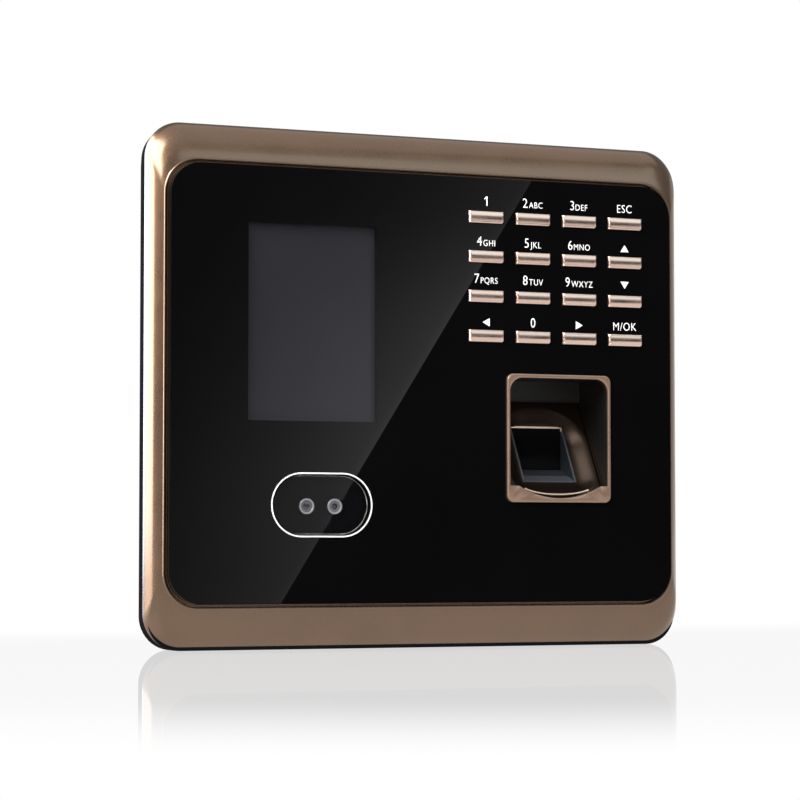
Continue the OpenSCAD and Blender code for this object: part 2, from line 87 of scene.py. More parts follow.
def add_loft(bm, rings, cyclic=False, caps=True):
    """Skins a row of rings with the same number of points."""
    loops = [[bm.verts.new(p) for p in ring] for ring in rings]
    count = len(loops[0])
    last = len(loops) if cyclic else len(loops) - 1
    for i in range(last):
        here, there = loops[i], loops[(i + 1) % len(loops)]
        for k in range(count):
            n = (k + 1) % count
            bm.faces.new((here[k], here[n], there[n], there[k]))
    if caps and not cyclic:
        bm.faces.new(loops[0])
        bm.faces.new(loops[-1])


def outline(half_w, low, high, radius, y, centre_x=0.0, steps=14):
    """An upright rounded rectangle at depth y, as points in order."""
    left, right = centre_x - half_w + radius, centre_x + half_w - radius
    corners = (
        (right, low + radius, -90), (right, high - radius, 0),
        (left, high - radius, 90), (left, low + radius, 180),
    )
    ring = []
    for x, z, start in corners:
        for i in range(steps + 1):
            a = math.radians(start + 90 * i / steps)
            ring.append(Vector((x + radius * math.cos(a), y, z + radius * math.sin(a))))
    return ring


def spline(points, steps):
    """A smooth line through the points, as a Catmull-Rom curve."""
    line = []
    last = len(points) - 1
    for i in range(last):
        a, b = Vector(points[max(i - 1, 0)]), Vector(points[i])
        c, d = Vector(points[i + 1]), Vector(points[min(i + 2, last)])
        for k in range(steps):
            t = k / steps
            line.append(0.5 * (2 * b + (c - a) * t + (2 * a - 5 * b + 4 * c - d) * t ** 2
                               + (3 * b - a - 3 * c + d) * t ** 3))
    line.append(Vector(points[-1]))
    return line


def add_lathe(bm, centre, profile, steps=64):
    """Turns a closed profile of (radius, depth) pairs about an axis along Y."""
    rings = []
    for i in range(steps):
        a = math.tau * i / steps
        rings.append([centre + Vector((r * math.cos(a), y, r * math.sin(a))) for r, y in profile])
    add_loft(bm, rings, cyclic=True)
    bmesh.ops.remove_doubles(bm, verts=bm.verts, dist=1e-7)


def node_mesh(node):
    """A welded copy of a node's mesh, with flat faces joined up again."""
    bm = bmesh.new()
    bm.from_mesh(frame["nodes"][node].data)
    bmesh.ops.remove_doubles(bm, verts=bm.verts, dist=1e-6)
    bmesh.ops.dissolve_limit(bm, angle_limit=math.radians(0.5), verts=bm.verts, edges=bm.edges)
    return bm


BEVEL_SEGMENTS = 3
BEVEL_ANGLE = math.radians(30)


def refine(node, edge):
    """Stands for a node with the same shape and small rounded edges."""
    piece = build(node + "_shaped", node_mesh(node), finishes[SLOT_OF[node]], node)
    bevel = piece.modifiers.new("edges", "BEVEL")
    bevel.width = edge
    bevel.segments = BEVEL_SEGMENTS
    bevel.limit_method = "ANGLE"
    bevel.angle_limit = BEVEL_ANGLE
    bevel.miter_outer = "MITER_ARC"
    bevel.harden_normals = False
    return piece


# ---------- Materials ----------

class Graph:
    """A material's node tree, built one node at a time."""

    def __init__(self, name):
        self.material = bpy.data.materials.new(name)
        self.material.use_nodes = True
        self.tree = self.material.node_tree
        self.shader = self.tree.nodes["Principled BSDF"]
        self.output = self.tree.nodes["Material Output"]
        self.place = self.node("ShaderNodeTexCoord").outputs["Object"]

    def node(self, kind, **values):
        made = self.tree.nodes.new(kind)
        for key, value in values.items():
            setattr(made, key, value)
        return made

    def link(self, source, target):
        self.tree.links.new(source, target)

    def put(self, socket, value):
        if isinstance(value, bpy.types.NodeSocket):
            self.link(value, socket)
        else:
            socket.default_value = value

    def math(self, operation, a, b=0.0, clamp=False):
        made = self.node("ShaderNodeMath", operation=operation, use_clamp=clamp)
        self.put(made.inputs[0], a)
        self.put(made.inputs[1], b)
        return made.outputs[0]

    def mix(self, factor, a, b):
        made = self.node("ShaderNodeMix", data_type="RGBA")
        self.put(made.inputs[0], factor)
        self.put(made.inputs[6], a)
        self.put(made.inputs[7], b)
        return made.outputs[2]

    def noise(self, size, detail=3.0, stretch=(1, 1, 1)):
        """Noise whose spots are about size metres across."""
        scaled = self.node("ShaderNodeMapping")
        self.link(self.place, scaled.inputs["Vector"])
        scaled.inputs["Scale"].default_value = stretch
        made = self.node("ShaderNodeTexNoise")
        self.link(scaled.outputs[0], made.inputs["Vector"])
        made.inputs["Scale"].default_value = 1 / size
        made.inputs["Detail"].default_value = detail
        return made.outputs["Fac"]

    def spread(self, source, low, high, to_low=0.0, to_high=1.0):
        made = self.node("ShaderNodeMapRange", interpolation_type="SMOOTHSTEP")
        self.put(made.inputs["Value"], source)
        for key, value in (("From Min", low), ("From Max", high),
                           ("To Min", to_low), ("To Max", to_high)):
            made.inputs[key].default_value = value
        return made.outputs["Result"]

    def worn_edges(self, radius):
        """1 on edges sharper than radius, broken up by noise, and 0 on flat faces."""
        rounded = self.node("ShaderNodeBevel", samples=4)
        rounded.inputs["Radius"].default_value = radius
        flat = self.node("ShaderNodeNewGeometry").outputs["Normal"]
        dot = self.node("ShaderNodeVectorMath", operation="DOT_PRODUCT")
        self.link(rounded.outputs[0], dot.inputs[0])
        self.link(flat, dot.inputs[1])
        bend = self.spread(dot.outputs["Value"], 0.995, 0.90)
        return self.math("MULTIPLY", bend, self.spread(self.noise(1.4 * MM), 0.35, 0.75))

    def bump(self, height, strength, depth):
        made = self.node("ShaderNodeBump")
        made.inputs["Strength"].default_value = strength
        made.inputs["Distance"].default_value = depth
        self.link(height, made.inputs["Height"])
        self.link(made.outputs[0], self.shader.inputs["Normal"])


def rgba(colour, gain=1.0):
    return (*(min(1.0, c * gain) for c in colour), 1.0)


def finish(name, colour, rough, metal=0.0, vary=0.10, patch=14 * MM, grain=0.35 * MM,
           bump=0.25, depth=0.01 * MM, rough_vary=0.06, wear=0.0, worn=None, stretch=(1, 1, 1),
           ior=1.5, coat=0.0, coat_rough=0.1, coat_ior=1.5):
    """A paint, metal or moulding: patches and grain in its colour, uneven gloss, a fine
    bump, and edges that have worn."""
    g = Graph(name)
    broad, fine = g.noise(patch), g.noise(grain, 2.0, stretch)
    dim, bright = rgba(colour, 1 - vary), rgba(colour, 1 + vary)
    shade = g.mix(g.spread(broad, 0.3, 0.7), dim, bright)
    speck = g.mix(g.spread(fine, 0.3, 0.7), rgba(colour, 1 - 0.8 * vary),
                  rgba(colour, 1 + 0.8 * vary))
    shade = g.mix(0.5, shade, speck)
    if wear:
        edges = g.math("MULTIPLY", g.worn_edges(0.35 * MM), wear)
        shade = g.mix(edges, shade, rgba(worn or colour, 1.0 if worn else 1.6))
    g.link(shade, g.shader.inputs["Base Color"])
    uneven = g.math("ADD", g.math("MULTIPLY", broad, 0.6), g.math("MULTIPLY", fine, 0.4))
    g.link(g.spread(uneven, 0.3, 0.7, rough - rough_vary, rough + rough_vary),
           g.shader.inputs["Roughness"])
    g.bump(fine, bump, depth)
    g.shader.inputs["Metallic"].default_value = metal
    g.shader.inputs["IOR"].default_value = ior
    g.shader.inputs["Coat Weight"].default_value = coat
    g.shader.inputs["Coat Roughness"].default_value = coat_rough
    g.shader.inputs["Coat IOR"].default_value = coat_ior
    return g.material


def window(name, tint, haze=0.02, ior=1.5):
    """A thin clear sheet: what is behind it shows through, tinted, under a gloss."""
    g = Graph(name)
    clear = g.node("ShaderNodeBsdfTransparent")
    smear = g.spread(g.noise(9 * MM), 0.3, 0.7, 0.94, 1.0)
    g.link(g.mix(smear, rgba(tint, 0.9), rgba(tint)), clear.inputs["Color"])
    gloss = g.node("ShaderNodeBsdfGlossy")
    g.link(g.spread(g.noise(5 * MM), 0.3, 0.7, haze, haze * 2), gloss.inputs["Roughness"])
    shine = g.node("ShaderNodeFresnel")
    shine.inputs["IOR"].default_value = ior
    outer = g.math("SUBTRACT", 1.0, g.node("ShaderNodeNewGeometry").outputs["Backfacing"])
    blend = g.node("ShaderNodeMixShader")
    g.link(g.math("MULTIPLY", shine.outputs[0], outer), blend.inputs[0])
    g.link(clear.outputs[0], blend.inputs[1])
    g.link(gloss.outputs[0], blend.inputs[2])
    g.link(blend.outputs[0], g.output.inputs["Surface"])
    g.tree.nodes.remove(g.shader)
    return g.material


BRONZE = (0.168, 0.099, 0.058)
ROSE = (0.80, 0.585, 0.49)
finishes = {
    "bronze_paint": finish("bronze_paint", BRONZE, 0.28, 0.95, vary=0.09, grain=0.22 * MM,
                           bump=0.3, depth=0.006 * MM, rough_vary=0.04, wear=0.35,
                           worn=(0.26, 0.17, 0.11), coat=1.0, coat_rough=0.14, coat_ior=1.45),
    "frame_paint": finish("frame_paint", (0.24, 0.150, 0.102), 0.30, 0.55, vary=0.08,
                          grain=0.22 * MM, bump=0.3, depth=0.006 * MM, rough_vary=0.04,
                          wear=0.4, worn=(0.50, 0.38, 0.31), coat=1.0, coat_rough=0.14,
                          coat_ior=1.45),
    "key_metal": finish("key_metal", ROSE, 0.22, 1.0, vary=0.05, grain=0.12 * MM,
                        bump=0.25, depth=0.004 * MM, stretch=(0.08, 1, 1), rough_vary=0.05,
                        wear=0.5, worn=(0.95, 0.8, 0.72)),
    "trim_rose": finish("trim_rose", (0.62, 0.45, 0.37), 0.25, 0.5, vary=0.05,
                        grain=0.12 * MM, bump=0.2, depth=0.004 * MM, wear=0.3,
                        worn=(0.9, 0.75, 0.66), coat=1.0, coat_rough=0.1),
    "panel_black": finish("panel_black", (0.0019, 0.0019, 0.0021), 0.008, vary=0.15,
                          patch=30 * MM, bump=0.0, rough_vary=0.003),
    "display_dark": finish("display_dark", (0.024, 0.024, 0.0258), 0.12, vary=0.05,
                           patch=22 * MM, grain=0.15 * MM, bump=0.05, depth=0.002 * MM,
                           rough_vary=0.03),
    "ring_silver": finish("ring_silver", (0.66, 0.66, 0.66), 0.35, vary=0.03, grain=0.2 * MM,
                          bump=0.1),
    "white_plastic": finish("white_plastic", (0.8, 0.8, 0.78), 0.4, vary=0.04, wear=0.3),
    "adhesive": finish("adhesive", (0.7, 0.7, 0.62), 0.8, vary=0.08, grain=0.4 * MM, bump=0.6),
    "bright_steel": finish("bright_steel", (0.62, 0.62, 0.64), 0.28, 1.0, vary=0.06,
                           grain=0.2 * MM, stretch=(1, 1, 0.06), wear=0.3),
    "plate_steel": finish("plate_steel", (0.55, 0.56, 0.57), 0.36, 1.0, vary=0.16,
                          patch=7 * MM, grain=0.5 * MM, bump=0.3, rough_vary=0.12, wear=0.4),
    "screw_steel": finish("screw_steel", (0.5, 0.5, 0.5), 0.3, 1.0, vary=0.1, grain=0.2 * MM,
                          wear=0.5),
    "lens_glass": finish("lens_glass", (0.012, 0.013, 0.02), 0.04, vary=0.2, grain=0.5 * MM,
                         bump=0.0, rough_vary=0.015, ior=1.8),
    "camera_glass": window("camera_glass", (0.85, 0.85, 0.87), 0.006),
    "clear_window": window("clear_window", (0.9, 0.9, 0.92), 0.006),
    "mask_black": finish("mask_black", (0.0035, 0.0035, 0.0038), 0.5, vary=0.15, bump=0.1,
                         ior=1.15),
    # Painted shade: the cradle's bronze is far darker than the bezel's, standing in for the shade
    # deep in the bay, so it shows mostly by its reflections
    "cradle_bronze": finish("cradle_bronze", (0.024, 0.0155, 0.0105), 0.32, 0.85, vary=0.10,
                            grain=0.22 * MM, bump=0.3, depth=0.006 * MM, wear=0.3,
                            worn=(0.06, 0.04, 0.028)),
    "well_black": finish("well_black", (0.0012, 0.0012, 0.0013), 0.6, vary=0.2, bump=0.1,
                         ior=1.1),
    # Painted light: a lighter grey for the sill, the lit front edge of the same housing whose floor
    # and cheeks are charcoal
    "well_grey": finish("well_grey", (0.062, 0.065, 0.072), 0.4, vary=0.12, grain=0.25 * MM,
                        bump=0.4, wear=0.3),
    "sensor_pane": window("sensor_pane", (0.9, 0.9, 0.92), 0.01, ior=1.1),
    "led_clear": finish("led_clear", (0.10, 0.09, 0.11), 0.15, vary=0.1, grain=0.5 * MM),
    "bay_black": finish("bay_black", (0.0062, 0.0053, 0.0042), 0.46, vary=0.2, grain=0.3 * MM,
                        bump=0.5, wear=0.2),
    "charcoal_plastic": finish("charcoal_plastic", (0.028, 0.030, 0.034), 0.36, vary=0.12,
                               grain=0.25 * MM, bump=0.5, wear=0.3),
    "dark_plastic": finish("dark_plastic", (0.02, 0.02, 0.022), 0.45, vary=0.15, grain=0.3 * MM,
                           bump=0.6, wear=0.3),
    "shell_black": finish("shell_black", (0.005, 0.005, 0.0054), 0.5, vary=0.15,
                          grain=0.3 * MM, bump=0.5, rough_vary=0.05, wear=0.1, ior=1.01),
    "mat_rubber": finish("mat_rubber", (0.05, 0.05, 0.055), 0.7, vary=0.12, grain=0.4 * MM,
                         bump=0.6),
    "chip_black": finish("chip_black", (0.015, 0.015, 0.017), 0.55, vary=0.15, grain=0.15 * MM,
                         bump=0.7),
    "board_green": finish("board_green", (0.015, 0.11, 0.045), 0.3, vary=0.2, patch=3 * MM,
                          grain=0.5 * MM, bump=0.4),
    "terminal_green": finish("terminal_green", (0.02, 0.16, 0.05), 0.42, vary=0.1,
                             grain=0.3 * MM, bump=0.5, wear=0.3),
    "red_plastic": finish("red_plastic", (0.35, 0.02, 0.02), 0.4, vary=0.1, grain=0.3 * MM,
                          bump=0.5, wear=0.3),
    "ribbon_amber": finish("ribbon_amber", (0.45, 0.22, 0.05), 0.35, vary=0.12,
                           grain=0.6 * MM, stretch=(1, 0.05, 0.05), bump=0.4),
}


def print_white():
    """White ink, thin enough to show a little unevenness."""
    return finish("print_white", (0.86, 0.86, 0.84), 0.5, vary=0.04, grain=0.1 * MM, bump=0.15)


# ---------- Front bezel ----------

# The bezel's skin, from the seam to the crest: how far in at the sides, how far in at the
# foot, and how far forward of the seam
RAIL = [
    (0.75, 0.60, 0.0), (0.45, 0.35, 0.12), (0.10, 0.12, 0.95), (0.38, 0.95, 2.2),
    (0.98, 2.7, 3.6), (1.75, 5.2, 4.85), (2.9, 8.6, 6.04), (3.86, 10.95, 6.68),
    (4.02, 11.30, 6.75),
]
# Over the crest, down its inner wall and along the ledge to the panel
LIP = [
    (4.08, 11.42, 6.88), (4.16, 11.56, 7.02), (4.27, 11.76, 7.08), (4.42, 11.98, 7.06),
    (4.52, 12.12, 6.98),
    (4.56, 12.18, 6.84), (4.58, 12.2, 5.6), (4.92, 12.54, 5.6), (4.94, 12.56, 6.5),
    (5.02, 12.64, 6.6), (5.26, 12.9, 6.6), (5.34, 12.98, 6.5),
]
# Behind the panel and back to the seam
RAIL_BACK = [(5.34, 12.98, 2.64), (3.0, 4.5, 2.64), (3.0, 4.5, 0.0)]
SEAM_Y = BEZEL_HIGH.y
OUTER_R = 10.5 * MM
CREST_R = 10.1 * MM
TOP_SHARE = 0.925


def rail_ring(side, foot, forward):
    """One line of the bezel's skin, all the way round."""
    side, foot, forward = side * MM, foot * MM, forward * MM
    blend = min(1.0, side / (4.35 * MM))
    radius = OUTER_R + (CREST_R - OUTER_R) * blend - max(0.0, side - 4.35 * MM)
    return outline(
        BEZEL_HIGH.x - side, BEZEL_LOW.z + foot, BEZEL_HIGH.z - foot * TOP_SHARE, radius,
        SEAM_Y - forward, steps=18,
    )


def bezel_rim():
    skin = RAIL[:2] + [tuple(p) for p in spline(RAIL[2:], 5)]
    bm = bmesh.new()
    add_loft(bm, [rail_ring(*p) for p in skin + LIP + RAIL_BACK], cyclic=True)
    return build("bezel_rim", bm, finishes["bronze_paint"], "front_bezel", sharp=40)


def bezel_floor():
    """The plate behind the panel, with its posts: the node's own mesh inside the rim."""
    bm = bmesh.new()
    bm.from_mesh(frame["nodes"]["front_bezel"].data)
    bmesh.ops.remove_doubles(bm, verts=bm.verts, dist=1e-6)
    inset = 5.4 * MM
    cuts = (
        (Vector((BEZEL_LOW.x + inset, 0, 0)), Vector((-1, 0, 0))),
        (Vector((BEZEL_HIGH.x - inset, 0, 0)), Vector((1, 0, 0))),
        (Vector((0, 0, PANEL_LOW.z)), Vector((0, 0, -1))),
        (Vector((0, 0, PANEL_HIGH.z)), Vector((0, 0, 1))),
        (Vector((0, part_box("panel_adhesive")[1].y, 0)), Vector((0, -1, 0))),
    )
    # The corners go too, where the rim dips below the plate's front
    corner_x = BEZEL_HIGH.x - inset - 2 * MM
    cuts += tuple((Vector((side * corner_x, 0, z)), Vector((side, 0, up)))
                  for side in (-1, 1)
                  for z, up in ((PANEL_LOW.z + 2 * MM, -1), (PANEL_HIGH.z - 2 * MM, 1)))
    for point, normal in cuts:
        cut = bmesh.ops.bisect_plane(
            bm, geom=bm.verts[:] + bm.edges[:] + bm.faces[:], dist=1e-7, plane_co=point,
            plane_no=normal, clear_outer=True,
        )
        edges = [e for e in cut["geom_cut"] if isinstance(e, bmesh.types.BMEdge)]
        bmesh.ops.edgenet_fill(bm, edges=edges)
    return build("bezel_floor", bm, finishes["bronze_paint"], "front_bezel")


# ---------- Keys ----------

KEY_SLOPE = 0.25
KEY_RIDGE = 0.16 * MM
KEY_EDGE = 0.42 * MM
KEY_CUT = 0.6 * MM


def key_section(x, half_h, front, back, drop, cut):
    """The key's outline across at x, from its foot at the back round to its top."""
    steps = 14
    inner = half_h - KEY_EDGE
    foot = -half_h + cut
    points = [Vector((x, back, foot))]
    face = []
    for i in range(steps + 1):
        z = foot + KEY_EDGE + (inner - foot - KEY_EDGE) * i / steps
        fall = math.hypot(KEY_SLOPE * z, KEY_RIDGE) - KEY_RIDGE
        face.append(Vector((x, front + max(fall, drop), z)))
    foot_y = face[0].y
    for i in range(4):
        a = math.radians(90 * (i + 0.5) / 4)
        points.append(Vector((x, foot_y + KEY_EDGE * (1 - math.sin(a)) * 0.9,
                              foot + KEY_EDGE - KEY_EDGE * math.cos(a))))
    points += face
    for i in range(4):
        a = math.radians(90 * (3.5 - i) / 4)
        points.append(Vector((x, foot_y + KEY_EDGE * (1 - math.sin(a)) * 0.9,
                              inner + KEY_EDGE * math.cos(a))))
    points.append(Vector((x, back, half_h)))
    return points


def key_cap(node):
    """A rose bar with a low ridge along it, steep ends, and a flange behind the panel."""
    low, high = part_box(node)
    flange = 0.8 * MM
    centre = (low + high) / 2
    half_w, half_h = (high.x - low.x) / 2 - 1.0 * MM, (high.z - low.z) / 2 - flange
    front = low.y - centre.y
    back = high.y - centre.y - 0.8 * MM
    ends = ((half_w, 0.95), (half_w - 0.06 * MM, 0.72), (half_w - 0.42 * MM, 0.16),
            (half_w - 0.55 * MM, 0.03), (half_w - 0.75 * MM, 0.0))
    sections = [(-x, drop, 0.0) for x, drop in ends]
    sections += [(half_w - KEY_CUT * 1.25, 0.0, 0.0)]
    sections += [(x, drop, (KEY_CUT * 1.25 - half_w + x) / 1.25) for x, drop in reversed(ends)]
    bm = bmesh.new()
    add_loft(bm, [key_section(x, half_h, front, back, drop * MM, cut)
                  for x, drop, cut in sections])
    plate = [outline(half_w + 1.0 * MM, -half_h - flange, half_h + flange, 0.5 * MM, y, steps=6)
             for y in (back, high.y - centre.y)]
    add_loft(bm, plate)
    bmesh.ops.translate(bm, verts=bm.verts, vec=centre)
    return build(node + "_cap", bm, finishes["key_metal"], node, sharp=42)


KEY_NODES = [n for n in frame["nodes"] if n.startswith("key_") and BODY_OF[n] != "terminal"]

# Each key's sign: a figure and its letters, a word, or an arrow's direction in degrees
SIGNS = {
    "key_1": ("1", ""), "key_2": ("2", "ABC"), "key_3": ("3", "DEF"), "key_esc": ("", "ESC"),
    "key_4": ("4", "GHI"), "key_5": ("5", "JKL"), "key_6": ("6", "MNO"), "key_up": 90,
    "key_7": ("7", "PQRS"), "key_8": ("8", "TUV"), "key_9": ("9", "WXYZ"), "key_down": -90,
    "key_left": 180, "key_0": ("0", ""), "key_right": 0, "key_ok": ("", "M/OK"),
}
FIGURE_H = 2.75 * MM
LETTER_H = 1.77 * MM
WORD_H = 2.35 * MM
INK = 0.02 * MM
NARROW = 0.86
# How far the signs stand above the keys, row by row from the top
SIGN_GAPS = (1.6 * MM, 1.4 * MM, 2.0 * MM, 1.15 * MM)
ONE = ((0.30, 0.0), (0.43, 0.0), (0.43, 1.0), (0.33, 1.0), (0.07, 0.80), (0.07, 0.67),
       (0.30, 0.81))
ARROW = {90: (1.35, 1.05), -90: (1.35, 1.05), 180: (1.125, 1.2), 0: (1.125, 1.2)}


def add_text(bm, words, height, x, z):
    """Lettering of that cap height from x rightwards; returns where it ends."""
    curve = bpy.data.curves.new("lettering", "FONT")
    curve.body = words
    curve.size = 1
    curve.space_character = 1.1
    curve.offset = -0.006
    curve.resolution_u = 4
    holder = bpy.data.objects.new("lettering", curve)
    bpy.context.scene.collection.objects.link(holder)
    bpy.context.view_layer.update()
    flat = bpy.data.meshes.new_from_object(
        holder.evaluated_get(bpy.context.evaluated_depsgraph_get())
    )
    bpy.data.objects.remove(holder)
    bpy.data.curves.remove(curve)
    xs = [v.co.x for v in flat.vertices]
    ys = [v.co.y for v in flat.vertices]
    scale = height / (max(ys) - max(0.0, min(ys)))
    start = len(bm.verts)
    bm.from_mesh(flat)
    bpy.data.meshes.remove(flat)
    bm.verts.ensure_lookup_table()
    for v in bm.verts[start:]:
        v.co = Vector((x + (v.co.x - min(xs)) * scale * NARROW, GLASS_Y - INK, z + v.co.y * scale))
    return x + (max(xs) - min(xs)) * scale * NARROW


def legend(node):
    """The white print above a key, centred on it."""
    low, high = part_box(node)
    sign = SIGNS[node]
    base = high.z - 0.8 * MM + SIGN_GAPS[list(SIGNS).index(node) // 4]
    bm = bmesh.new()
    if isinstance(sign, tuple):
        figure, letters = sign
        end = 0.0
        if figure == "1":
            bm.faces.new([bm.verts.new((x * FIGURE_H, GLASS_Y - INK, base + z * FIGURE_H))
                          for x, z in ONE])
            end = 0.5 * FIGURE_H
        elif figure:
            end = add_text(bm, figure, FIGURE_H, 0.0, base)
        if letters:
            gap = 0.5 * MM if figure else 0.0
            end = add_text(bm, letters, LETTER_H if figure else WORD_H, end + gap, base)
        bmesh.ops.translate(bm, verts=bm.verts, vec=((low.x + high.x - end) / 2, 0, 0))
    else:
        centre = Vector(((low.x + high.x) / 2, GLASS_Y - INK, base + 1.1 * MM))
        half_w, half_h = (v * MM for v in ARROW[sign])
        turn = math.radians(sign)
        point = Vector((round(math.cos(turn)) * half_w, 0, round(math.sin(turn)) * half_h))
        side = Vector((half_w - abs(point.x), 0, half_h - abs(point.z)))
        tips = (centre + point, centre - point + side, centre - point - side)
        bm.faces.new([bm.verts.new(tip) for tip in tips])
    bmesh.ops.remove_doubles(bm, verts=bm.verts, dist=1e-7)
    skin = bmesh.ops.extrude_face_region(bm, geom=bm.faces[:])
    moved = [v for v in skin["geom"] if isinstance(v, bmesh.types.BMVert)]
    bmesh.ops.translate(bm, verts=moved, vec=(0, INK * 0.9, 0))
    return build("legend" + node[3:], bm, ink, body="terminal")


# ---------- Cameras ----------

def ring_profile(inner, outer, y0, y1, edge):
    """A flat ring's section with its four edges cut, as (radius, depth) pairs."""
    return [(inner + edge, y0), (outer - edge, y0), (outer, y0 + edge), (outer, y1 - edge),
            (outer - edge, y1), (inner + edge, y1), (inner, y1 - edge), (inner, y0 + edge)]


def camera_ring():
    """A thin bright ring let into the panel, and the black sleeve behind it."""
    low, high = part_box("camera_ring")
    half_w, half_h = (high.x - low.x) / 2, (high.z - low.z) / 2
    front = low.y
    face = front + 0.1 * MM
    for name, line, y0, y1, look in (
        ("camera_ring_face", 0.42 * MM, front, face, "ring_silver"),
        ("camera_ring_sleeve", 0.84 * MM, face, high.y, "well_black"),
    ):
        loops = []
        for inset, y in ((0, y0), (line, y0), (line, y1), (0, y1)):
            loops.append(outline(half_w - inset, low.z + inset, high.z - inset,
                                 half_h - inset - 0.01 * MM, y, (low.x + high.x) / 2, 20))
        bm = bmesh.new()
        add_loft(bm, loops, cyclic=True)
        build(name, bm, finishes[look], "camera_ring")


def camera_mask():
    """The black print behind the window, with a round hole for each lens."""
    low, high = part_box("camera_window")
    lenses = [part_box("camera_lens_left"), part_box("camera_lens_right")]
    y0, y1 = high.y + 0.02 * MM, high.y + 0.12 * MM
    bm = bmesh.new()
    holes = [((a.x + b.x) / 2, (a.z + b.z) / 2) for a, b in lenses]
    half_h = (high.z - low.z) / 2
    rings = []
    edge_loops = []
    for y in (y0, y1):
        edge_loops.append(outline((high.x - low.x) / 2 - 0.1 * MM, low.z + 0.1 * MM,
                                  high.z - 0.1 * MM, half_h - 0.15 * MM, y,
                                  (low.x + high.x) / 2, 12))
    rings.append(edge_loops)
    for x, z in holes:
        pair = []
        for y in (y0, y1):
            pair.append([Vector((x + 2.32 * MM * math.cos(math.tau * i / 48), y,
                                 z + 2.32 * MM * math.sin(math.tau * i / 48)))
                         for i in range(48)])
        rings.append(pair)
    caps = [[], []]
    for pair in rings:
        loops = [[bm.verts.new(p) for p in ring] for ring in pair]
        count = len(loops[0])
        for k in range(count):
            n = (k + 1) % count
            bm.faces.new((loops[0][k], loops[0][n], loops[1][n], loops[1][k]))
        for side in (0, 1):
            caps[side] += [bm.edges.get((loops[side][k], loops[side][(k + 1) % count]))
                           for k in range(count)]
    for edges in caps:
        bmesh.ops.triangle_fill(bm, use_beauty=True, edges=edges)
    return build("camera_mask", bm, finishes["mask_black"], body="terminal")


def camera_lens(node, rings, dome_r, dome_rise):
    """A lens: stepped rings round a domed glass, set back in its barrel."""
    low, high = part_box(node)
    centre = Vector(((low.x + high.x) / 2, low.y, (low.z + high.z) / 2))
    pieces = []
    for i, (inner, outer, y0, colour) in enumerate(rings):
        bm = bmesh.new()
        add_lathe(bm, centre, [(r * MM, y * MM) for r, y in
                               ring_profile(inner, outer, y0, y0 + 0.5, 0.06)])
        pieces.append(build(f"{node}_ring_{i + 1}", bm, colour, body="terminal"))
    bm = bmesh.new()
    profile = [(0.0, dome_rise)]
    for i in range(1, 13):
        a = math.radians(90 * i / 12)
        profile.append((dome_r * math.sin(a), 0.9 - (0.9 - dome_rise) * math.cos(a)))
    profile += [(dome_r, 1.4), (0.0, 1.4)]
    rings_of_dome = []
    steps = 48
    for i in range(steps):
        a = math.tau * i / steps
        rings_of_dome.append([centre + Vector((r * MM * math.cos(a), y * MM, r * MM * math.sin(a)))
                              for r, y in profile])
    add_loft(bm, rings_of_dome, cyclic=True)
    bmesh.ops.remove_doubles(bm, verts=bm.verts, dist=1e-7)
    bmesh.ops.dissolve_degenerate(bm, edges=bm.edges, dist=1e-8)
    pieces.append(build(node + "_glass", bm, finishes["lens_glass"], node))
    return pieces


# ---------- Finger bay ----------

# In millimetres: the bed's middle line and foot, its lean, and the hollow in the cradle
BAY_X = 41.3
BED_Y = -9.0
BED_Z = 48.3
LEAN = math.radians(31)
LIP_SLOPE = math.tan(math.radians(21))
RIDGE = 2.5
FLAT = 9.3
HOLLOW_TOP = 19.6
HOLLOW_ROUND = 7.5
RAMP = 4.9
GROOVE = (14.5, 14.95)
CRADLE_HALF = 15.8
CRADLE_Z = (43.2, 72.3)
CRADLE_Y = (-13.1, 3.9)
WELL_HALF = 8.75
WELL_Z = (48.1, 64.75)
WELL_BACK = 0.7


def mm(x, y, z):
    return Vector((x, y, z)) * MM


def bed_height(u, v):
    """How far the cradle stands proud of the bed, at u across and v up it."""
    du = abs(u) - (FLAT - HOLLOW_ROUND)
    dv = v - (HOLLOW_TOP - HOLLOW_ROUND)
    if du > 0 and dv > 0:
        out = math.hypot(du, dv) - HOLLOW_ROUND
    else:
        out = max(du, dv) - HOLLOW_ROUND
    t = min(1.0, max(0.0, out / RAMP))
    ramp = RIDGE * (0.45 * t + 0.55 * t * t * (3 - 2 * t))
    lip = LIP_SLOPE * (math.hypot(v + 0.9, 1.0) - (v + 0.9)) / 2
    height = min(RIDGE, ramp + lip)
    if GROOVE[0] < abs(u) < GROOVE[1]:
        height = min(height, RIDGE - 1.5)
    return height


def bed_depth(x, z):
    """The cradle's depth at x and z."""
    height = 0.0
    for _ in range(12):
        v = (z - BED_Z - height * math.sin(LEAN)) / math.cos(LEAN)
        height = 0.5 * height + 0.5 * bed_height(x - BAY_X, v)
    return max(CRADLE_Y[0], BED_Y + v * math.sin(LEAN) - height * math.cos(LEAN))


def stops(edges, step):
    """Every edge in turn, with even steps between them no longer than step."""
    line = []
    for a, b in zip(edges, edges[1:]):
        count = max(1, math.ceil((b - a) / step))
        line += [a + (b - a) * i / count for i in range(count)]
    return line + [edges[-1]]


